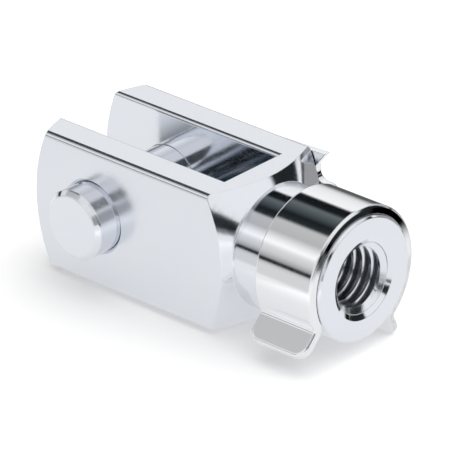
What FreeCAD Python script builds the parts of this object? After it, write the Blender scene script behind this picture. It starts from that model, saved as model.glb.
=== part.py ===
import FreeCAD, Part
import math
import os

from FreeCAD import Vector

# A clevis rod end: a fork turned and milled from square bar, a cross pin, and a spring clip
# riveted to the pin that swings over the shank and snaps round it.
# Sizes are in millimetres. The origin is on the pin's axis, midway between the two ears.
# X runs along the shank to the threaded end, Y runs along the pin to the clip's arm, Z is up.

# Fork
BAR = 16.0                # square bar, across its flats
BAR_EDGE = 0.6            # rounding of the bar's long edges
EAR_REACH = 10.0          # pin's axis to the top of the domed ear ends
EAR_DOME = 20.0           # radius of the dome turned across both ear ends
SLOT = 8.2                # gap between the ears
SLOT_REACH = 16.0         # pin's axis to the floor of the slot
SLOT_EDGE = 0.45          # rounding of the slot's long edges
WEB = 3.6                 # floor of the slot to the foot of the shoulder, along the axis
SHANK = 14.0              # turned shank, across
SHANK_REACH = 32.0        # pin's axis to the shank's end face
SHANK_EDGE = 0.2          # chamfer round the end face
SHOULDER = 31.0           # slope of the turned shoulder, in degrees from square to the axis

# Threaded hole
THREAD = 8.0              # major diameter of the thread, where the wall is
THREAD_CORE = 6.8         # drilled hole that the thread is cut in
THREAD_DEPTH = 14.0       # threaded length from the end face
COUNTERSINK = 9.2         # mouth of the hole, across
SINK_ANGLE = 120.0        # between the countersink's sides, in degrees

# Pin
PIN = 8.0                 # bore through the ears
PIN_PLAY = 0.03           # gap all round between pin and bore
BORE_EDGE = 0.3           # chamfer at the ends of the bore
PIN_OUT = 3.1             # free end of the pin, past the ear's face
PIN_CHAMFER = 0.5         # chamfer on the free end
TENON = 5.0               # reduced end that the clip's arm is riveted on, across
TENON_PLAY = 0.03         # gap all round between tenon and arm
RIVET_HEAD = 7.2          # peened head, across its foot
RIVET_TOP = 5.2           # peened head, across its flat top
RIVET_RISE = 0.8          # height of the peened head

# Spring clip
SHEET = 1.0               # thickness of the spring sheet
SHEET_EDGE = 0.3          # rounding of its outer face's blanked edges
ARM_PLAY = 0.1            # gap between the ear's face and the arm
ARM_END = 6.6             # radius of the arm's round end at the pin
ARM_REACH = 19.2          # pin's axis to the arm's broad end
ARM_BROAD = 7.45          # half the height of the arm at its broad end
NOTCH_ROOT = 1.35         # depth that the notch next to the band is cut back into the arm
NOTCH_ROUND = 1.0         # rounding of the notch's inner corners
NOTCH_LIP = 1.7           # height of the slanted lip where the notch opens
NECK_HALF = 4.0           # half the height of the neck between the notches
SNAP_PLAY = 0.06          # gap between the shank and the band
BAND_FROM = 23.7          # pin's axis to the band's near edge
BAND_BACK = 0.4           # band's far edge, back from the shank's end face
CREASE_ROUND = 0.4        # outer radius of the bends where the legs flare
NEAR_CREASE = 24.0        # degrees below level where the band ends, on the free side
NEAR_FLARE = 68.0         # degrees that the free leg turns outwards
FAR_CREASE = 49.0         # the same two angles on the arm's side
FAR_FLARE = 71.0
NEAR_LEG = 2.9            # straight length of the free leg
FAR_LEG = 1.9             # straight length of the leg on the arm's side
NEAR_ROUND = 1.5          # rounding of the free leg's corners
FAR_ROUND = 0.7           # rounding of the other leg's corners

# Places that several pieces share
half_bar = BAR / 2
shank_r = SHANK / 2
neck_x = SLOT_REACH + WEB
pin_r = PIN / 2 - PIN_PLAY
arm_in = half_bar + ARM_PLAY
arm_out = arm_in + SHEET
band_in = shank_r + SNAP_PLAY
band_out = band_in + SHEET
band_to = SHANK_REACH - BAND_BACK
notch_from = ARM_REACH - NOTCH_ROOT

AXIS_X = Vector(1, 0, 0)
AXIS_Y = Vector(0, 1, 0)
AXIS_Z = Vector(0, 0, 1)
ORIGIN = Vector(0, 0, 0)


def revolved(points, arcs, axis):
    """Turn a closed outline about an axis through the origin.

    A key of arcs is the number of the side that is an arc, and its value a point on that arc.
    """
    edges = []
    for i, start in enumerate(points):
        end = points[(i + 1) % len(points)]
        if i in arcs:
            edges.append(Part.Arc(start, arcs[i], end).toShape())
        else:
            edges.append(Part.makeLine(start, end))
    face = Part.Face(Part.Wire(edges))
    return face.revolve(ORIGIN, axis, 360)


def cylinder_x(radius, x_from, x_to):
    """A round bar on the shank's axis."""
    return Part.makeCylinder(radius, x_to - x_from, Vector(x_from, 0, 0), AXIS_X)


def cone_x(r_from, r_to, x_from, x_to):
    """A taper on the shank's axis."""
    return Part.makeCone(r_from, r_to, x_to - x_from, Vector(x_from, 0, 0), AXIS_X)


def dome_x(radius):
    """Where the dome across the ear ends is, at a distance from the axis."""
    return -EAR_REACH + EAR_DOME - math.sqrt(EAR_DOME**2 - radius**2)


def edges_where(shape, test):
    """The edges of a shape whose ends and middle all pass a test."""
    found = []
    for edge in shape.Edges:
        first, last = edge.ParameterRange
        points = [edge.valueAt(first + (last - first) * step) for step in (0.0, 0.5, 1.0)]
        if all(test(point) for point in points):
            found.append(edge)
    return found


def near(a, b):
    """Whether two sizes agree."""
    return abs(a - b) < 1e-4


def turned_envelope():
    """The form that the lathe leaves: dome, shoulder, shank and end chamfer."""
    corner = half_bar * math.sqrt(2) + 1.0
    slope = math.tan(math.radians(SHOULDER))
    points = [
        Vector(-EAR_REACH, 0, 0),
        Vector(dome_x(corner), corner, 0),
        Vector(neck_x - (corner - shank_r) * slope, corner, 0),
        Vector(neck_x, shank_r, 0),
        Vector(SHANK_REACH - SHANK_EDGE, shank_r, 0),
        Vector(SHANK_REACH, shank_r - SHANK_EDGE, 0),
        Vector(SHANK_REACH, 0, 0),
    ]
    return revolved(points, {0: Vector(dome_x(corner / 2), corner / 2, 0)}, AXIS_X)


def square_bar():
    """The square bar with its long edges rounded."""
    length = EAR_REACH + SHANK_REACH + 2
    bar = Part.makeBox(length, BAR, BAR, Vector(-EAR_REACH - 1, -half_bar, -half_bar))
    long_edges = edges_where(bar, lambda p: near(abs(p.y), half_bar) and near(abs(p.z), half_bar))
    return bar.makeFillet(BAR_EDGE, long_edges)


def threaded_hole():
    """The hole in the shank, with its wall at the thread's major diameter."""
    mouth = COUNTERSINK / 2
    core = cylinder_x(THREAD_CORE / 2, SLOT_REACH - 1, SHANK_REACH + 1)
    major = THREAD / 2
    cut_to = SHANK_REACH - THREAD_DEPTH
    run_out = cone_x(THREAD_CORE / 2, major, cut_to - (major - THREAD_CORE / 2), cut_to)
    thread = cylinder_x(major, cut_to, SHANK_REACH + 1)
    slope = 1 / math.tan(math.radians(SINK_ANGLE / 2))
    past = 0.5
    sink = cone_x(major, mouth + past, SHANK_REACH - (mouth - major) * slope, SHANK_REACH + past * slope)
    return core.fuse([run_out, thread, sink])


def pin_bore():
    """The bore through both ears, with a chamfer at each outer end."""
    radius = PIN / 2
    bore = Part.makeCylinder(radius, BAR + 2, Vector(0, -half_bar - 1, 0), AXIS_Y)
    chamfers = []
    for side in (-1, 1):
        start = Vector(0, side * (half_bar - BORE_EDGE), 0)
        direction = Vector(0, side, 0)
        chamfers.append(Part.makeCone(radius, radius + BORE_EDGE + 0.5, BORE_EDGE + 0.5, start, direction))
    return bore.fuse(chamfers)


def fork():
    """The fork, from the turned bar: slotted, bored and drilled for the thread."""
    body = square_bar().common(turned_envelope())
    slot = Part.makeBox(
        EAR_REACH + 1 + SLOT_REACH, SLOT, BAR + 2, Vector(-EAR_REACH - 1, -SLOT / 2, -half_bar - 1)
    )
    body = body.cut(slot)

    def on_slot_rim(p):
        level = near(abs(p.z), half_bar)
        side = near(abs(p.y), SLOT / 2) and p.x < SLOT_REACH + 1e-4
        floor = near(p.x, SLOT_REACH) and abs(p.y) < SLOT / 2 + 1e-4
        return level and (side or floor)

    body = body.makeFillet(SLOT_EDGE, edges_where(body, on_slot_rim))
    return body.cut(pin_bore()).cut(threaded_hole())


def clevis_pin():
    """The cross pin, with a chamfered free end and a tenon peened over the clip's arm."""
    free = -half_bar - PIN_OUT
    tenon_r = TENON / 2 - TENON_PLAY
    points = [
        Vector(0, free, 0),
        Vector(pin_r - PIN_CHAMFER, free, 0),
        Vector(pin_r, free + PIN_CHAMFER, 0),
        Vector(pin_r, arm_in, 0),
        Vector(tenon_r, arm_in, 0),
        Vector(tenon_r, arm_out, 0),
        Vector(RIVET_HEAD / 2, arm_out, 0),
        Vector(RIVET_TOP / 2, arm_out + RIVET_RISE, 0),
        Vector(0, arm_out + RIVET_RISE, 0),
    ]
    return revolved(points, {}, AXIS_Y)


def arm_plate():
    """The flat arm along the ear, round at the pin and broader towards the band."""
    reach = math.hypot(ARM_REACH, ARM_BROAD)
    lean = math.acos(ARM_END / reach) - math.atan2(ARM_REACH, ARM_BROAD)
    touch_x = ARM_END * math.sin(lean)
    touch_z = ARM_END * math.cos(lean)
    edges = [
        Part.makeLine(Vector(touch_x, arm_in, touch_z), Vector(ARM_REACH, arm_in, ARM_BROAD)),
        Part.makeLine(Vector(ARM_REACH, arm_in, ARM_BROAD), Vector(ARM_REACH, arm_in, -ARM_BROAD)),
        Part.makeLine(Vector(ARM_REACH, arm_in, -ARM_BROAD), Vector(touch_x, arm_in, -touch_z)),
        Part.Arc(
            Vector(touch_x, arm_in, -touch_z), Vector(-ARM_END, arm_in, 0), Vector(touch_x, arm_in, touch_z)
        ).toShape(),
    ]
    plate = Part.Face(Part.Wire(edges)).extrude(Vector(0, SHEET, 0))

    hole = Part.makeCylinder(TENON / 2, SHEET + 2, Vector(0, arm_in - 1, 0), AXIS_Y)
    return plate.cut(hole)


def neck_section(x, blend):
    """The closed section of the sheet at one place on its way from flat arm to round band.

    A blend of 0 is the flat arm and 1 is the band.
    """
    inner_y = arm_in + (band_in - arm_in) * blend
    span = band_in * math.asin((NECK_HALF + NOTCH_ROUND) / band_in) + SHEET_EDGE
    if blend == 0:
        corners = [
            Vector(x, inner_y, -span),
            Vector(x, inner_y, span),
            Vector(x, inner_y + SHEET, span),
            Vector(x, inner_y + SHEET, -span),
        ]
        return Part.makePolygon(corners + corners[:1])
    bend_r = band_in / blend
    turn = span / bend_r

    def at(radius, angle):
        y = inner_y - bend_r + radius * math.cos(angle)
        return Vector(x, y, radius * math.sin(angle))

    outer_r = bend_r + SHEET
    edges = [
        Part.Arc(at(bend_r, -turn), at(bend_r, 0), at(bend_r, turn)).toShape(),
        Part.makeLine(at(bend_r, turn), at(outer_r, turn)),
        Part.Arc(at(outer_r, turn), at(outer_r, 0), at(outer_r, -turn)).toShape(),
        Part.makeLine(at(outer_r, -turn), at(bend_r, -turn)),
    ]
    return Part.Wire(edges)


def neck():
    """The sheet between arm and band, joggled inwards and rolled to the shank's radius."""
    steps = 6
    sections = []
    for i in range(steps + 1):
        share = i / steps
        blend = share * share * (3 - 2 * share)
        sections.append(neck_section(ARM_REACH + (BAND_FROM - ARM_REACH) * share, blend))
    return Part.makeLoft(sections, True, False)


def leg_points(side, crease, flare, length):
    """Points of one flared leg in the Y-Z plane: outer and inner bend, then both tip corners.

    The leg bends about a centre outside the band, so that its outer face is hollow there.
    """
    angle = math.radians(crease)
    outward = Vector(0, side * math.cos(angle), -math.sin(angle))
    along = Vector(0, -side * math.sin(angle), -math.cos(angle))
    centre = outward * (band_out + CREASE_ROUND)

    def turned(radius, share):
        turn = math.radians(flare * share)
        return centre - (outward * math.cos(turn) - along * math.sin(turn)) * radius

    full = math.radians(flare)
    run = (along * math.cos(full) + outward * math.sin(full)) * length
    outer = [turned(CREASE_ROUND, share) for share in (0, 0.5, 1)]
    inner = [turned(CREASE_ROUND + SHEET, share) for share in (0, 0.5, 1)]
    return outer, inner, outer[2] + run, inner[2] + run


def band():
    """The open band that snaps round the shank, with its two flared legs."""
    far_out, far_in, far_tip_out, far_tip_in = leg_points(1, FAR_CREASE, FAR_FLARE, FAR_LEG)
    near_out, near_in, near_tip_out, near_tip_in = leg_points(-1, NEAR_CREASE, NEAR_FLARE, NEAR_LEG)
    top_out = Vector(0, 0, band_out)
    top_in = Vector(0, 0, band_in)
    edges = [
        Part.makeLine(far_tip_out, far_out[2]),
        Part.Arc(far_out[2], far_out[1], far_out[0]).toShape(),
        Part.Arc(far_out[0], top_out, near_out[0]).toShape(),
        Part.Arc(near_out[0], near_out[1], near_out[2]).toShape(),
        Part.makeLine(near_out[2], near_tip_out),
        Part.makeLine(near_tip_out, near_tip_in),
        Part.makeLine(near_tip_in, near_in[2]),
        Part.Arc(near_in[2], near_in[1], near_in[0]).toShape(),
        Part.Arc(near_in[0], top_in, far_in[0]).toShape(),
        Part.Arc(far_in[0], far_in[1], far_in[2]).toShape(),
        Part.makeLine(far_in[2], far_tip_in),
        Part.makeLine(far_tip_in, far_tip_out),
    ]
    section = Part.Face(Part.Wire(edges))
    section.translate(Vector(BAND_FROM, 0, 0))
    shell = section.extrude(Vector(band_to - BAND_FROM, 0, 0))

    widest = 0.45 * (band_to - BAND_FROM)
    tips = [(far_tip_out, far_tip_in, FAR_ROUND), (near_tip_out, near_tip_in, NEAR_ROUND)]
    for tip_out, tip_in, rounding in tips:
        middle = (tip_out + tip_in) * 0.5

        def at_corner(p):
            return math.hypot(p.y - middle.y, p.z - middle.z) < SHEET / 2 + 1e-4

        corners = [
            edge for edge in edges_where(shell, at_corner)
            if near(edge.Vertexes[0].X, edge.Vertexes[1].X)
        ]
        shell = shell.makeFillet(min(rounding, widest), corners)

    return shell


def notch(side):
    """The notch cut through the sheet between the arm and the band."""
    past = band_out + 3
    outline = [
        Vector(notch_from, 0, side * NECK_HALF),
        Vector(BAND_FROM, 0, side * NECK_HALF),
        Vector(BAND_FROM, 0, side * past),
        Vector(ARM_REACH, 0, side * past),
        Vector(ARM_REACH, 0, side * ARM_BROAD),
        Vector(notch_from, 0, side * (ARM_BROAD - NOTCH_LIP)),
    ]
    cutter = Part.Face(Part.makePolygon(outline + outline[:1])).extrude(Vector(0, arm_out + 2, 0))
    inner = edges_where(
        cutter,
        lambda p: near(abs(p.z), NECK_HALF) and (near(p.x, notch_from) or near(p.x, BAND_FROM)),
    )
    return cutter.makeFillet(NOTCH_ROUND, inner)


def spring_clip():
    """The spring clip, one blanked and formed sheet: arm, neck, band and legs.

    Blanking rounds the sheet's outline on its outer face only.
    """
    sheet = arm_plate().fuse([neck(), band()])
    sheet = sheet.cut([notch(1), notch(-1)]).removeSplitter()

    def on_outline(p):
        on_rim = near(p.x, band_to) and near(math.hypot(p.y, p.z), band_out)
        on_neck = p.x > notch_from and abs(p.z) < NECK_HALF + 1e-4
        on_arm = near(p.y, arm_out) and math.hypot(p.x, p.z) > ARM_END - 1e-4
        return on_rim or (on_arm and not on_neck)

    return sheet.makeFillet(SHEET_EDGE, edges_where(sheet, on_outline))


def main():
    """Write each piece to its own file."""
    os.makedirs("parts", exist_ok=True)
    pieces = {"fork": fork, "clevis_pin": clevis_pin, "spring_clip": spring_clip}
    for name, build in pieces.items():
        shape = build().removeSplitter()
        shape.exportStep("parts/" + name + ".step")
        print(name, shape.ShapeType, len(shape.Solids), shape.isValid(), round(shape.Volume, 1))


main()
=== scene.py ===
"""Dresses the clevis rod end and sets up its studio.

The fork, the pin and the spring clip keep the solids of the frame and get their plated steel
finishes. The thread is made here, as a helical ridge in the plain bore of the fork's shank.
Lengths are in metres, in the frame's axes: X runs along the shank to its threaded end, Y runs
along the pin to the clip's arm, and Z is up. Places inside a material are in millimetres.
"""
import logging
import math
from dataclasses import dataclass
from enum import Enum
from typing import List, Optional, Sequence, Tuple, Union

import bmesh
import bpy
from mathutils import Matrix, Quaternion, Vector


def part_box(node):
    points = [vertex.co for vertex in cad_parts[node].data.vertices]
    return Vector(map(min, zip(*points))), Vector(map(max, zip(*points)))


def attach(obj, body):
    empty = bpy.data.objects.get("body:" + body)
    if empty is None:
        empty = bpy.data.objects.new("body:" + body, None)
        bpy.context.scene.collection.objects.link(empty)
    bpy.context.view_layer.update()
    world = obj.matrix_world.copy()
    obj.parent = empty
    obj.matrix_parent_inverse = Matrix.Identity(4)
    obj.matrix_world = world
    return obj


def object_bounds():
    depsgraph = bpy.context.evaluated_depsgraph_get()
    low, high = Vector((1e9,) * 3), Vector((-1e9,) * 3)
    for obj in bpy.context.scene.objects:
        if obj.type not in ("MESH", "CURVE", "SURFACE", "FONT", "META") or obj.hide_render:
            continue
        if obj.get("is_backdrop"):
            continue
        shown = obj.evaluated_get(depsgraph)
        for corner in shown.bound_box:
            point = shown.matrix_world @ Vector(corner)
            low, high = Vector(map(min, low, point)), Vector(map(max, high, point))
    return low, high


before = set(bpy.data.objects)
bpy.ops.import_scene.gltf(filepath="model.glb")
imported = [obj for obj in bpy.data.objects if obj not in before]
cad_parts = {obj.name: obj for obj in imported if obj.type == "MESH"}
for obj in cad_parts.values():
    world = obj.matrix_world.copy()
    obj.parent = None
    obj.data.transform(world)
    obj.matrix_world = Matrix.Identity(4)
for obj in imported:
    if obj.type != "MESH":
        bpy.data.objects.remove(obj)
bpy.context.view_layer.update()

LOG = logging.getLogger("clevis_rod_end")
MM = 0.001

Socket = bpy.types.NodeSocket
Colour = Tuple[float, float, float]
Edge = Tuple[float, float]
Value = Union[float, Sequence[float], Socket]

WHITE = (1.0, 1.0, 1.0, 1.0)

# Places of the Mix node's colour sockets, which share their names with its number sockets
MIX_FIRST, MIX_SECOND, MIX_RESULT = 6, 7, 2


def opaque(colour: Sequence[float]) -> Tuple[float, ...]:
    """Add the fourth number that a colour socket wants."""
    return (*colour, 1.0)


def add_object(name: str, data: bpy.types.ID) -> bpy.types.Object:
    """Make an object and link it to the scene.

    Args:
        name: The object's name.
        data: Its mesh, light or camera.

    Returns:
        The object.
    """
    made = bpy.data.objects.new(name, data)
    bpy.context.scene.collection.objects.link(made)
    return made


class Grain(Enum):
    """Which way the marks of making run over a piece."""

    TURNED_ON_SHANK = "rings about the shank's axis where turned, drawn lines where flat"
    TURNED_ON_PIN = "rings about the pin's axis"
    ROLLED = "fine lines along the sheet"


@dataclass(frozen=True)
class Span:
    """A stretch with a soft edge at either end. Without an edge, that end is open."""

    low: Optional[Edge] = None
    high: Optional[Edge] = None


class Graph:
    """A shader tree with short calls for the nodes that the finishes and the studio share."""

    def __init__(self, tree: bpy.types.NodeTree) -> None:
        """Start from an empty tree.

        Args:
            tree: The node tree to fill.
        """
        self.tree = tree
        self.tree.nodes.clear()

    def node(self, kind: str, **settings: object) -> bpy.types.Node:
        """Add a node.

        Args:
            kind: Blender's name of the node's type.
            **settings: Attributes to set on the node.

        Returns:
            The new node.
        """
        made = self.tree.nodes.new(kind)
        for name, value in settings.items():
            setattr(made, name, value)
        return made

    def feed(self, socket: Socket, value: Value) -> None:
        """Link an output to a socket, or set the socket's own number or colour.

        Args:
            socket: The input to fill.
            value: An output socket, a number or a colour.
        """
        if isinstance(value, Socket):
            self.tree.links.new(value, socket)
        else:
            socket.default_value = value

    def math(self, operation: str, *values: Value) -> Socket:
        """Add a Math node.

        Args:
            operation: The operation's name.
            *values: Its inputs, in order.

        Returns:
            The result.
        """
        made = self.node("ShaderNodeMath", operation=operation)
        for socket, value in zip(made.inputs, values):
            self.feed(socket, value)
        return made.outputs[0]

    def product(self, *factors: Value) -> Socket:
        """Multiply numbers with one another.

        Args:
            *factors: The numbers, the first of them a socket.

        Returns:
            The product.
        """
        result, *others = factors
        for factor in others:
            result = self.math("MULTIPLY", result, factor)
        return result

    def angle(self, across: Value, along: Value) -> Socket:
        """Give a direction's angle in degrees.

        Args:
            across: The direction's part at 90 degrees.
            along: Its part at 0 degrees.

        Returns:
            The angle.
        """
        return self.math("DEGREES", self.math("ARCTAN2", across, along))

    def vector(self, operation: str, first: Value, second: Optional[Value] = None) -> Socket:
        """Add a Vector Math node.

        Args:
            operation: The operation's name.
            first: A vector.
            second: A vector, or the factor of a scaling, where the operation has one.

        Returns:
            The resulting vector.
        """
        made = self.node("ShaderNodeVectorMath", operation=operation)
        self.feed(made.inputs[0], first)
        if second is not None:
            self.feed(made.inputs["Scale" if operation == "SCALE" else 1], second)
        return made.outputs["Vector"]

    def place(self) -> List[Socket]:
        """Give the surface point's X, Y and Z in the piece's own frame, in millimetres."""
        coordinates = self.node("ShaderNodeTexCoord")
        return self.split(self.vector("SCALE", coordinates.outputs["Object"], 1 / MM))

    def facing(self) -> List[Socket]:
        """Give the X, Y and Z of the surface's normal in the piece's own frame."""
        return self.split(self.node("ShaderNodeTexCoord").outputs["Normal"])

    def split(self, vector: Socket) -> List[Socket]:
        """Separate a vector into its three numbers.

        Args:
            vector: The vector.

        Returns:
            Its X, Y and Z.
        """
        made = self.node("ShaderNodeSeparateXYZ")
        self.feed(made.inputs[0], vector)
        return list(made.outputs)

    def join(self, x: Value, y: Value, z: Value) -> Socket:
        """Combine three numbers into a vector.

        Args:
            x: The vector's X.
            y: The vector's Y.
            z: The vector's Z.

        Returns:
            The vector.
        """
        made = self.node("ShaderNodeCombineXYZ")
        for socket, value in zip(made.inputs, (x, y, z)):
            self.feed(socket, value)
        return made.outputs[0]

    def rise(
        self, value: Value, low: float, high: float, start: float = 0.0, end: float = 1.0
    ) -> Socket:
        """Ease from one number to another while a value passes from low to high.

        Args:
            value: The value that is watched.
            low: Where the change begins.
            high: Where the change ends.
            start: The result up to low.
            end: The result from high on.

        Returns:
            The eased number's socket.
        """
        made = self.node("ShaderNodeMapRange", interpolation_type="SMOOTHSTEP")
        for name, given in (
            ("Value", value),
            ("From Min", low),
            ("From Max", high),
            ("To Min", start),
            ("To Max", end),
        ):
            self.feed(made.inputs[name], given)
        return made.outputs[0]

    def within(self, *parts: Tuple[Value, Span]) -> Socket:
        """Find where values lie in their spans.

        Args:
            *parts: Values, each with its span. One span at least has an edge.

        Returns:
            1 where every value lies in its span, easing to 0 outside.
        """
        edges = []
        for value, span in parts:
            if span.low:
                edges.append(self.rise(value, *span.low))
            if span.high:
                edges.append(self.rise(value, *span.high, 1.0, 0.0))
        return self.product(*edges)

    def noise(self, vector: Socket, scale: float, detail: float) -> Socket:
        """Add a noise texture and give its factor.

        Args:
            vector: Where to read the noise.
            scale: Its frequency.
            detail: Its number of octaves.

        Returns:
            The noise, about 0.5 on average.
        """
        made = self.node("ShaderNodeTexNoise")
        self.feed(made.inputs["Vector"], vector)
        self.feed(made.inputs["Scale"], scale)
        self.feed(made.inputs["Detail"], detail)
        return made.outputs["Fac"]

    def blend(self, factor: Value, first: Value, second: Value) -> Socket:
        """Mix two colours.

        Args:
            factor: How much of the second colour shows.
            first: The colour at 0.
            second: The colour at 1.

        Returns:
            The mixed colour.
        """
        made = self.node("ShaderNodeMix", data_type="RGBA")
        self.feed(made.inputs["Factor"], factor)
        self.feed(made.inputs[MIX_FIRST], first)
        self.feed(made.inputs[MIX_SECOND], second)
        return made.outputs[MIX_RESULT]


@dataclass(frozen=True)
class PlatedSteel:
    """A bright plated steel, with the fine marks that its making left under the plate.

    Sizes and places are in millimetres, in the piece's own frame.
    """

    name: str
    grain: Grain

    # The plate's colour, slightly clouded
    tint: Colour = (0.81, 0.83, 0.875)
    cloud_tint: Colour = (0.79, 0.815, 0.865)
    cloud_size: float = 5.0
    cloud_detail: float = 3.0

    # Roughness where turned, on the bar's drawn flats and in the milled slot
    roughness: float = 0.09
    flat_roughness: float = 0.22
    milled_roughness: float = 0.10
    roughness_spread: float = 0.04
    satin_scale: float = 2.5
    satin_detail: float = 4.0
    satin_range: Edge = (0.3, 0.7)
    flat_facing: Edge = (0.985, 0.998)
    bar_skin: Edge = (7.7, 7.9)

    # The marks of making
    mark_pitch: float = 0.16
    mark_depth: float = 0.00025
    line_stretch: float = 0.02
    line_detail: float = 2.0
    wander_scale: float = 3.0

    # Worn rims, and the lean of the sheared edge at the shank's end, in degrees
    worn_edge: float = 0.12
    edge_samples: int = 6
    sheared_lean: float = 0.0
    shear_facing: Edge = (0.90, 0.97)
    shear_place: Edge = (31.2, 31.3)

    def flats(self, graph: Graph) -> Socket:
        """Find the flats along the bar.

        Args:
            graph: The tree to build in.

        Returns:
            1 on a flat along the bar, 0 on what was turned or rounded.
        """
        _, across, up = [graph.math("ABSOLUTE", side) for side in graph.facing()]
        return graph.rise(graph.math("MAXIMUM", across, up), *self.flat_facing)

    def lines(self, graph: Graph) -> Socket:
        """Build the height of the lines that drawing and rolling leave along X.

        Args:
            graph: The tree to build in.

        Returns:
            The height, from 0 to 1.
        """
        x, y, z = graph.place()
        stretched = graph.join(graph.math("MULTIPLY", x, self.line_stretch), y, z)
        return graph.noise(stretched, 1 / self.mark_pitch, self.line_detail)

    def rings(self, graph: Graph) -> Socket:
        """Build the height of the rings that the turning tool leaves.

        Args:
            graph: The tree to build in.

        Returns:
            The height, from 0 to 1.
        """
        x, y, z = graph.place()
        if self.grain is Grain.TURNED_ON_PIN:
            along, across = y, (x, z)
        else:
            along, across = x, (y, z)
        squares = [graph.math("MULTIPLY", side, side) for side in across]
        radius = graph.math("SQRT", graph.math("ADD", *squares))
        reach = graph.math("ADD", along, radius)
        turn = graph.math("MULTIPLY", reach, 2 * math.pi / self.mark_pitch)
        wave = graph.math("MULTIPLY_ADD", graph.math("SINE", turn), 0.5, 0.5)
        wander = graph.noise(graph.join(along, radius, 0.0), self.wander_scale, 1.0)
        return graph.math("MULTIPLY", wave, wander)

    def height(self, graph: Graph) -> Socket:
        """Build the height of the making's marks.

        Args:
            graph: The tree to build in.

        Returns:
            The height, from 0 to 1.
        """
        if self.grain is Grain.ROLLED:
            return self.lines(graph)
        if self.grain is Grain.TURNED_ON_PIN:
            return self.rings(graph)
        flat = self.flats(graph)
        turned = graph.math("SUBTRACT", 1.0, flat)
        drawn = graph.math("MULTIPLY", self.lines(graph), flat)
        return graph.math("MULTIPLY_ADD", self.rings(graph), turned, drawn)

    def normal(self, graph: Graph) -> Socket:
        """Build the surface's direction, with worn edges and the lean of a sheared edge.

        Args:
            graph: The tree to build in.

        Returns:
            The direction before the making's marks.
        """
        worn = graph.node("ShaderNodeBevel", samples=self.edge_samples)
        graph.feed(worn.inputs["Radius"], self.worn_edge * MM)
        if not self.sheared_lean:
            return worn.outputs[0]
        x, y, z = graph.place()
        outward = graph.node(
            "ShaderNodeVectorTransform",
            vector_type="NORMAL",
            convert_from="OBJECT",
            convert_to="WORLD",
        )
        graph.feed(outward.inputs[0], graph.vector("NORMALIZE", graph.join(0.0, y, z)))
        on_edge = graph.within(
            (graph.facing()[0], Span(low=self.shear_facing)), (x, Span(low=self.shear_place))
        )
        lean = graph.math("MULTIPLY", on_edge, math.tan(math.radians(self.sheared_lean)))
        leaning = graph.vector("SCALE", outward.outputs[0], lean)
        return graph.vector("NORMALIZE", graph.vector("ADD", worn.outputs[0], leaning))

    def rough(self, graph: Graph, place: Socket) -> Socket:
        """Build the roughness, which wanders a little and is higher on the bar's flats.

        Args:
            graph: The tree to build in.
            place: The surface point, in millimetres.

        Returns:
            The roughness.
        """
        satin = graph.noise(place, self.satin_scale, self.satin_detail)
        spread = self.roughness_spread / 2
        smoothest, roughest = self.roughness - spread, self.roughness + spread
        rough = graph.rise(satin, *self.satin_range, smoothest, roughest)
        if self.grain is not Grain.TURNED_ON_SHANK:
            return rough
        _, y, z = [graph.math("ABSOLUTE", side) for side in graph.place()]
        milled = self.milled_roughness - self.roughness
        drawn = self.flat_roughness - self.roughness
        extra = graph.rise(graph.math("MAXIMUM", y, z), *self.bar_skin, milled, drawn)
        return graph.math("MULTIPLY_ADD", self.flats(graph), extra, rough)

    def material(self) -> bpy.types.Material:
        """Build the finish.

        Returns:
            The material.
        """
        made = bpy.data.materials.new(self.name)
        made.use_nodes = True
        graph = Graph(made.node_tree)
        surface = graph.node("ShaderNodeBsdfPrincipled")
        output = graph.node("ShaderNodeOutputMaterial")
        graph.feed(output.inputs["Surface"], surface.outputs[0])
        place = graph.join(*graph.place())
        clouds = graph.noise(place, 1 / self.cloud_size, self.cloud_detail)
        tint = graph.blend(clouds, opaque(self.tint), opaque(self.cloud_tint))
        graph.feed(surface.inputs["Base Color"], tint)
        graph.feed(surface.inputs["Metallic"], 1.0)
        graph.feed(surface.inputs["Roughness"], self.rough(graph, place))
        bump = graph.node("ShaderNodeBump")
        graph.feed(bump.inputs["Strength"], 1.0)
        graph.feed(bump.inputs["Distance"], self.mark_depth * MM)
        graph.feed(bump.inputs["Height"], self.height(graph))
        graph.feed(bump.inputs["Normal"], self.normal(graph))
        graph.feed(surface.inputs["Normal"], bump.outputs[0])
        return made


@dataclass
class Dressing:
    """A piece of the frame that keeps its solid and gets a finish."""

    node: str
    finish: PlatedSteel

    def build(self) -> bpy.types.Object:
        """Put the finish on the piece.

        Returns:
            The piece.
        """
        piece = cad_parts[self.node]
        piece.data.materials.clear()
        piece.data.materials.append(self.finish.material())
        LOG.info("%s: %s, %s", self.node, self.finish.name, self.finish.grain.value)
        return piece


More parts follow.
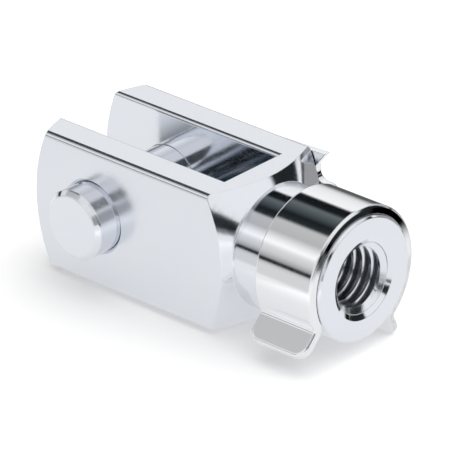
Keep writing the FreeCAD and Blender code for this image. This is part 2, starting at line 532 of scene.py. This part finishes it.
@dataclass
class TappedThread:
    """The thread in the shank: a helical ridge standing on the wall of the plain bore."""

    finish: PlatedSteel
    pitch: float = 1.25 * MM
    wall: float = 3.985 * MM
    crest: float = 3.323 * MM
    crest_width: float = 0.3125 * MM
    foot_width: float = 1.094 * MM
    length: float = 14.0 * MM
    sink_depth: float = 0.346 * MM
    sink_slope: float = 1.732
    steps_per_turn: int = 96
    run_in: float = 0.5
    least_rise: float = 0.02
    weld: float = 0.002 * MM

    def section(self, middle: float, share: float, end: float) -> List[Tuple[float, float]]:
        """Give the ridge's section as places along the axis and radii.

        Args:
            middle: The ridge's middle along the axis.
            share: How far the ridge has risen, from 0 to 1.
            end: Where the countersink meets the wall.

        Returns:
            Four points, from foot over crest to foot.
        """
        points = []
        for along, radius in (
            (-self.foot_width / 2, self.wall),
            (-self.crest_width / 2, self.crest),
            (self.crest_width / 2, self.crest),
            (self.foot_width / 2, self.wall),
        ):
            x = min(middle + along, end)
            cone = self.wall + (x - end) * self.sink_slope
            raised = self.wall + (radius - self.wall) * share
            points.append((x, min(max(raised, cone), self.wall)))
        return points

    def sweep(self, start: float, end: float, turns: float) -> bpy.types.Mesh:
        """Sweep the ridge's section along its right-hand helix.

        Args:
            start: The ridge's middle at its inner end, along the axis.
            end: Where the countersink meets the wall.
            turns: How many turns the helix has.

        Returns:
            The closed mesh.
        """
        mesh = bmesh.new()
        rings = []
        for i in range(int(turns * self.steps_per_turn) + 1):
            turn = i / self.steps_per_turn
            share = max(self.least_rise, min(1.0, turn / self.run_in))
            angle = -2 * math.pi * turn
            ring = [
                mesh.verts.new((x, r * math.cos(angle), r * math.sin(angle)))
                for x, r in self.section(start + turn * self.pitch, share, end)
            ]
            rings.append(ring)
        for first, second in zip(rings, rings[1:]):
            for k in range(len(first)):
                n = (k + 1) % len(first)
                mesh.faces.new((first[k], first[n], second[n], second[k]))
        mesh.faces.new(rings[0][::-1])
        mesh.faces.new(rings[-1])
        bmesh.ops.remove_doubles(mesh, verts=mesh.verts, dist=self.weld)
        bmesh.ops.dissolve_degenerate(mesh, edges=mesh.edges, dist=self.weld)
        bmesh.ops.recalc_face_normals(mesh, faces=mesh.faces)
        data = bpy.data.meshes.new("tapped_thread")
        mesh.to_mesh(data)
        mesh.free()
        return data

    def build(self) -> bpy.types.Object:
        """Make the thread from the bottom of its length to the countersink.

        Returns:
            The thread, riding on the fork.
        """
        _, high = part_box("fork")
        end = high.x - self.sink_depth
        start = high.x - self.length + self.foot_width / 2
        turns = (end + self.foot_width / 2 - start) / self.pitch
        data = self.sweep(start, end, turns)
        piece = add_object("tapped_thread", data)
        data.materials.append(self.finish.material())
        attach(piece, "fork")
        LOG.info("tapped thread: %.1f turns, %d faces", turns, len(data.polygons))
        return piece


@dataclass(frozen=True)
class Band:
    """One stretch of the studio's walls, from the front horizon over the top to the back."""

    name: str
    angle: float
    level: float


@dataclass(frozen=True)
class Screen:
    """A dark screen in the studio's walls, or a painted dark patch on the floor, by the direction
    or the place in which it stands.
    """

    name: str
    shade: float
    along: Span = Span()
    across: Span = Span()
    up: Span = Span()

    def dim(self, graph: Graph, level: Value, place: Sequence[Value]) -> Socket:
        """Take the screen's shade off a level.

        Args:
            graph: The tree to build in.
            level: The level without the screen.
            place: The X, Y and Z that the screen's spans are set against.

        Returns:
            The level with the screen.
        """
        LOG.debug("%s: takes %.2f of the light", self.name, self.shade)
        where = graph.within(*zip(place, (self.along, self.across, self.up)))
        return graph.math("MULTIPLY", level, graph.math("MULTIPLY_ADD", where, -self.shade, 1.0))


@dataclass(frozen=True)
class FarCorner:
    """The narrow light and the grey wall behind the far side.

    Bearings are in degrees from X towards Y.
    """

    light: Span = Span((69.0, 71.0), (75.0, 77.0))
    wall: Span = Span(low=(75.0, 77.0))
    wall_level: float = 0.38
    wall_fades: Edge = (100.0, 120.0)
    wall_rest: float = 0.3

    def level(self, graph: Graph, bearing: Socket) -> Socket:
        """Build the corner's level.

        Args:
            graph: The tree to build in.
            bearing: The bearing that is looked at.

        Returns:
            The level.
        """
        fading = graph.rise(bearing, *self.wall_fades, 1.0, self.wall_rest)
        wall = graph.math("MULTIPLY", graph.within((bearing, self.wall)), fading)
        light = graph.within((bearing, self.light))
        return graph.math("MULTIPLY_ADD", wall, self.wall_level, light)


@dataclass(frozen=True)
class EndWall:
    """The dark side of the studio past the shank's end, with its one soft box.

    Bearings are in degrees from X towards Y, and heights are the Z of a direction.
    """

    wall_level: float = 0.022
    box_light: float = 0.95
    box_bearing: Span = Span((-9.0, -6.0), (39.0, 45.0))
    box_height: Span = Span(low=(0.155, 0.18))
    foot_light: float = 0.25
    foot_bearing: Span = Span(high=(-9.0, -5.0))
    foot_height: Span = Span(high=(0.02, 0.06))
    open_light: float = 0.85
    open_bearing: Span = Span(high=(-38.0, -25.0))
    open_height: Span = Span(low=(0.5, 0.6))
    stand_shade: float = 0.62
    stand_bearing: Span = Span((-60.0, -54.0), (-40.0, -34.0))
    stand_height: Span = Span(high=(0.38, 0.5))
    corner: FarCorner = FarCorner()

    def level(self, graph: Graph, direction: Sequence[Socket]) -> Socket:
        """Build the wall's level.

        Args:
            graph: The world's tree.
            direction: The X, Y and Z of the direction that is looked in.

        Returns:
            The level.
        """
        x, y, z = direction
        bearing = graph.angle(y, x)
        box = graph.within((bearing, self.box_bearing), (z, self.box_height))
        foot = graph.within((bearing, self.foot_bearing), (z, self.foot_height))
        level = graph.math("MULTIPLY_ADD", box, self.box_light, self.wall_level)
        level = graph.math("MULTIPLY_ADD", foot, self.foot_light, level)
        for part, span in ((bearing, self.open_bearing), (z, self.open_height)):
            opening = graph.math("MULTIPLY", graph.within((part, span)), self.open_light)
            level = graph.math("MAXIMUM", level, opening)
        stand = graph.within((bearing, self.stand_bearing), (z, self.stand_height))
        most = graph.math("MULTIPLY_ADD", stand, -self.stand_shade, 1.0)
        level = graph.math("MINIMUM", level, most)
        return graph.math("MAXIMUM", level, self.corner.level(graph, bearing))


@dataclass
class Walls:
    """The walls that the steel reflects, with white for the camera.

    Spans are set against the X, Y and Z of a direction of length one.
    """

    ambient: float = 0.25
    wall_tint: Colour = (1.0, 1.0, 1.0)
    shade_tint: Colour = (0.74, 0.92, 1.0)
    tinted: Edge = (0.0, 0.4)

    # The bands over the part. From the ceiling to the back they lean, in degrees for each
    # unit of X
    lean: float = 14.0
    lean_from: Edge = (90.0, 125.0)
    upright_at: float = -0.62
    bands: Tuple[Band, ...] = (
        Band("front gap", 0.0, 0.72),
        Band("front gap, edge", 4.0, 0.60),
        Band("front gap, foot", 6.5, 0.02),
        Band("front gap, top", 10.0, 0.03),
        Band("front gap, upper part", 12.5, 0.38),
        Band("front wall", 20.0, 0.66),
        Band("front light, lower edge", 29.0, 0.80),
        Band("front light", 36.0, 1.12),
        Band("front light, upper edge", 43.0, 0.92),
        Band("front wall, upper part", 54.0, 0.52),
        Band("front wall, top", 72.0, 0.58),
        Band("ceiling, edge", 77.0, 0.03),
        Band("ceiling, front", 88.0, 0.015),
        Band("ceiling, middle", 96.0, 0.08),
        Band("ceiling, back", 110.0, 0.17),
        Band("ceiling, end", 116.0, 0.015),
        Band("back light, edge", 130.0, 0.005),
        Band("back light, upper part", 134.5, 1.05),
        Band("back light", 158.0, 0.93),
        Band("back wall", 168.0, 0.8),
        Band("back wall, foot", 176.0, 0.4),
        Band("back horizon", 180.0, 0.25),
    )

    # What stands beside the bands
    open_light: float = 0.85
    open_along: Tuple[Span, ...] = (Span(low=(-0.42, -0.25)), Span(high=(-0.88, -0.78)))
    end_wall: EndWall = EndWall()
    end_from: Edge = (-0.15, 0.3)
    end_skew: float = 0.2
    screens: Tuple[Screen, ...] = (
        Screen(
            "gap past the fork's open end",
            0.96,
            along=Span(high=(-0.93, -0.86)),
            up=Span((0.05, 0.09), (0.19, 0.24)),
        ),
        Screen(
            "screen in front of the pin",
            0.93,
            along=Span((0.14, 0.22), (0.52, 0.58)),
            across=Span((-0.75, -0.69), (-0.6, -0.54)),
            up=Span(low=(0.48, 0.54)),
        ),
    )

    def ramp(self, graph: Graph, angle: Socket) -> Socket:
        """Turn an angle from the front horizon over the top into a band's level.

        Args:
            graph: The world's tree.
            angle: The angle, in degrees.

        Returns:
            The level.
        """
        back = self.bands[-1].angle
        made = graph.node("ShaderNodeValToRGB")
        stops = made.color_ramp.elements
        while len(stops) > 1:
            stops.remove(stops[0])
        for i, band in enumerate(self.bands):
            stop = stops[0] if i == 0 else stops.new(band.angle / back)
            stop.position = band.angle / back
            stop.color = opaque([band.level] * 3)
            LOG.debug("%s: level %.3f at %.1f degrees", band.name, band.level, band.angle)
        graph.feed(made.inputs[0], graph.math("DIVIDE", angle, back))
        return made.outputs[0]

    def level(self, graph: Graph, direction: Sequence[Socket]) -> Socket:
        """Build how bright the studio is.

        Args:
            graph: The world's tree.
            direction: The X, Y and Z of the direction that is looked in.

        Returns:
            The level.
        """
        x, y, z = direction
        angle = graph.angle(z, graph.math("MULTIPLY", y, -1.0))
        leaned = graph.math("MULTIPLY", graph.math("SUBTRACT", x, self.upright_at), self.lean)
        angle = graph.math("MULTIPLY_ADD", graph.rise(angle, *self.lean_from), leaned, angle)
        level = self.ramp(graph, angle)
        for span in self.open_along:
            opening = graph.math("MULTIPLY", graph.within((x, span)), self.open_light)
            level = graph.math("MAXIMUM", level, opening)
        past_end = graph.rise(graph.math("MULTIPLY_ADD", y, self.end_skew, x), *self.end_from)
        level = graph.blend(past_end, level, self.end_wall.level(graph, direction))
        for screen in self.screens:
            level = screen.dim(graph, level, direction)
        return level

    def build(self) -> None:
        """Fill the world with the walls, and with plain grey for the floor's own light."""
        world = bpy.data.worlds.new("studio_walls")
        bpy.context.scene.world = world
        world.use_nodes = True
        graph = Graph(world.node_tree)
        level = self.level(
            graph, graph.split(graph.node("ShaderNodeTexCoord").outputs["Generated"])
        )
        shown = graph.rise(level, *self.tinted)
        tint = graph.blend(shown, opaque(self.shade_tint), opaque(self.wall_tint))
        colour = graph.vector("MULTIPLY", level, tint)
        path = graph.node("ShaderNodeLightPath")
        colour = graph.blend(path.outputs["Is Camera Ray"], colour, WHITE)
        around = opaque([self.ambient] * 3)
        colour = graph.blend(path.outputs["Is Diffuse Ray"], colour, around)
        background = graph.node("ShaderNodeBackground")
        graph.feed(background.inputs["Color"], colour)
        output = graph.node("ShaderNodeOutputWorld")
        graph.feed(output.inputs["Surface"], background.outputs[0])
        LOG.info("walls: %d bands, %d screens", len(self.bands), len(self.screens))


@dataclass
class Overhead:
    """One broad soft light overhead, which the steel doesn't mirror."""

    strength: float = 2.6
    spread: float = 100.0
    stands: Tuple[float, float, float] = (0.32, 0.30, 1.0)

    def build(self) -> bpy.types.Object:
        """Hang the light.

        Returns:
            The light.
        """
        data = bpy.data.lights.new("overhead", "SUN")
        data.energy = self.strength
        data.angle = math.radians(self.spread)
        lamp = add_object("overhead", data)
        lamp.visible_glossy = False
        lamp.rotation_mode = "QUATERNION"
        lamp.rotation_quaternion = Vector(self.stands).to_track_quat("Z", "Y")
        LOG.info("overhead light: strength %.1f", self.strength)
        return lamp


@dataclass
class Floor:
    """The pale floor under the lowest point of the part, and how it stands in the steel.

    Spans are set against places on the floor, in millimetres.
    """

    reach: float = 6.0
    white: float = 0.90
    glow: float = 0.26
    grain_scale: float = 0.8
    grain_detail: float = 2.0
    grain_range: Edge = (0.2, 0.8)
    grain_level: Edge = (0.985, 1.0)

    # How bright the steel shows it, and how much of that the part's shadow may take
    mirrored_level: float = 0.95
    shadow_in_steel: float = 0.30

    # The far corner's light and wall stand on the floor behind the part
    corner: FarCorner = FarCorner()
    corner_across: Span = Span(low=(30.0, 50.0))
    corner_centre: Tuple[float, float] = (18.0, 7.0)

    # The front is darker, except before the shank
    front: Edge = (-48.0, -34.0)
    front_level: float = 0.78
    shank_front: float = 0.22
    shank_front_along: Span = Span(low=(5.0, 12.0))
    shank_front_across: Span = Span(high=(-32.0, -16.0))
    # Painted reflection: the far end of the floor, past the shank's end, is darkened where the
    # steel mirrors it
    painted_dark_end: Screen = Screen(
        "end of the floor", 0.9, along=Span(low=(75.0, 105.0)), across=Span(low=(-28.0, -12.0))
    )

    # Painted shade under the slot, seen only in the steel: the floor there is dark teal, and the
    # patch narrows past the ears' end
    painted_slot_shade: float = 0.06
    painted_shade_tint: Colour = (0.38, 0.82, 1.0)
    under_along: Span = Span((-25.0, -17.0), (14.0, 17.0))
    under_near: Span = Span(low=(-6.0, -3.5))
    under_far: Span = Span(high=(3.5, 6.0))
    ears_end: float = -10.0
    under_narrows: float = 0.9

    def mirrored(self, graph: Graph) -> Socket:
        """Build how bright the floor stands in the steel.

        Args:
            graph: The floor's tree.

        Returns:
            The share of the floor's brightness, as a colour.
        """
        x, y, z = graph.place()
        centre_x, centre_y = self.corner_centre
        bearing = graph.angle(
            graph.math("SUBTRACT", y, centre_y), graph.math("SUBTRACT", x, centre_x)
        )
        change = graph.math("SUBTRACT", self.corner.level(graph, bearing), 1.0)
        behind = graph.within((y, self.corner_across))
        share = graph.math("MULTIPLY_ADD", behind, change, 1.0)
        front = graph.rise(y, *self.front, self.front_level, 1.0)
        at_shank = graph.within((x, self.shank_front_along), (y, self.shank_front_across))
        front = graph.math("MULTIPLY_ADD", at_shank, self.shank_front, front)
        share = self.painted_dark_end.dim(graph, graph.math("MULTIPLY", share, front), (x, y, z))
        # Painted shade: the floor under the slot is darkened and tinted teal where the steel
        # mirrors it
        past_ears = graph.math("MINIMUM", graph.math("SUBTRACT", x, self.ears_end), 0.0)
        narrowed = graph.math("MULTIPLY_ADD", past_ears, self.under_narrows, y)
        under = graph.within(
            (narrowed, self.under_far), (y, self.under_near), (x, self.under_along)
        )
        shade = opaque([part * self.painted_slot_shade for part in self.painted_shade_tint])
        return graph.vector("SCALE", graph.blend(under, WHITE, shade), share)

    def material(self) -> bpy.types.Material:
        """Build the floor's material.

        It glows a little for the camera, so that it meets the white background without an
        edge. For the steel, most of it glows evenly and the rest takes the part's shadow.

        Returns:
            The material.
        """
        made = bpy.data.materials.new("pale_floor")
        made.use_nodes = True
        graph = Graph(made.node_tree)
        path = graph.node("ShaderNodeLightPath")
        in_steel = path.outputs["Is Glossy Ray"]
        noise = graph.noise(graph.join(*graph.place()), self.grain_scale, self.grain_detail)
        grain = graph.rise(noise, *self.grain_range, *self.grain_level)
        seen = graph.math("MULTIPLY", grain, self.white)
        mirrored = graph.vector("SCALE", self.mirrored(graph), self.mirrored_level)
        shaded = graph.vector("SCALE", mirrored, self.shadow_in_steel)
        evenly = graph.vector("SCALE", mirrored, 1.0 - self.shadow_in_steel)
        surface = graph.node("ShaderNodeBsdfDiffuse")
        graph.feed(surface.inputs["Color"], graph.blend(in_steel, seen, shaded))
        glow = graph.node("ShaderNodeEmission")
        own = graph.math("MULTIPLY", path.outputs["Is Camera Ray"], self.glow)
        graph.feed(glow.inputs["Color"], graph.blend(in_steel, graph.join(own, own, own), evenly))
        both = graph.node("ShaderNodeAddShader")
        graph.feed(both.inputs[0], surface.outputs[0])
        graph.feed(both.inputs[1], glow.outputs[0])
        output = graph.node("ShaderNodeOutputMaterial")
        graph.feed(output.inputs["Surface"], both.outputs[0])
        return made

    def build(self) -> bpy.types.Object:
        """Lay the floor.

        Returns:
            The floor.
        """
        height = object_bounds()[0].z
        reach = self.reach
        corners = [(-reach, -reach), (reach, -reach), (reach, reach), (-reach, reach)]
        data = bpy.data.meshes.new("floor")
        data.from_pydata([(x, y, height) for x, y in corners], [], [(0, 1, 2, 3)])
        piece = add_object("floor", data)
        data.materials.append(self.material())
        piece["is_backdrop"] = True
        LOG.info("floor: %.1f mm below the axis", -height / MM)
        return piece


@dataclass
class PhotoCamera:
    """The camera at the photograph's angle."""

    aim: Tuple[float, float, float] = (12.0 * MM, 0.0, -0.13 * MM)
    azimuth: float = 43.85
    elevation: float = 26.564
    roll: float = -1.537
    distance: float = 615.9 * MM
    lens: float = 462.4
    sensor: float = 36.0
    clip: Edge = (0.05, 20.0)

    def build(self) -> bpy.types.Object:
        """Make the camera and let the scene use it.

        Returns:
            The camera.
        """
        turn = math.radians(self.azimuth)
        lift = math.radians(self.elevation)
        back = Vector(
            (math.sin(turn) * math.cos(lift), -math.cos(turn) * math.cos(lift), math.sin(lift))
        )
        data = bpy.data.cameras.new("photo_camera")
        data.lens = self.lens
        data.sensor_width = self.sensor
        data.clip_start, data.clip_end = self.clip
        camera = add_object("photo_camera", data)
        camera.location = Vector(self.aim) + back * self.distance
        camera.rotation_mode = "QUATERNION"
        level = (-back).to_track_quat("-Z", "Y")
        tilt = Quaternion((0.0, 0.0, 1.0), math.radians(self.roll))
        camera.rotation_quaternion = level @ tilt
        bpy.context.scene.camera = camera
        LOG.info("camera: %.0f mm away", self.distance / MM)
        return camera


def main() -> None:
    """Build the dressed part, the studio and the camera, in that order."""
    logging.basicConfig(level=logging.INFO, format="%(name)s: %(message)s")
    machined = PlatedSteel("zinc_plated_bar", Grain.TURNED_ON_SHANK)
    turned = PlatedSteel("zinc_plated_pin", Grain.TURNED_ON_PIN, mark_pitch=0.12, worn_edge=0.30)
    sprung = PlatedSteel(
        "polished_spring_sheet",
        Grain.ROLLED,
        tint=(0.87, 0.88, 0.90),
        cloud_tint=(0.84, 0.855, 0.88),
        roughness=0.08,
        mark_pitch=0.1,
        sheared_lean=20.0,
    )
    tapped = PlatedSteel("tapped_steel", Grain.TURNED_ON_SHANK, roughness=0.17, worn_edge=0.05)
    bpy.context.scene.view_settings.view_transform = "Standard"
    for part in (
        Dressing("fork", machined),
        Dressing("clevis_pin", turned),
        Dressing("spring_clip", sprung),
        TappedThread(tapped),
        Walls(),
        Overhead(),
        Floor(),
        PhotoCamera(),
    ):
        part.build()


if __name__ == "__main__":
    main()
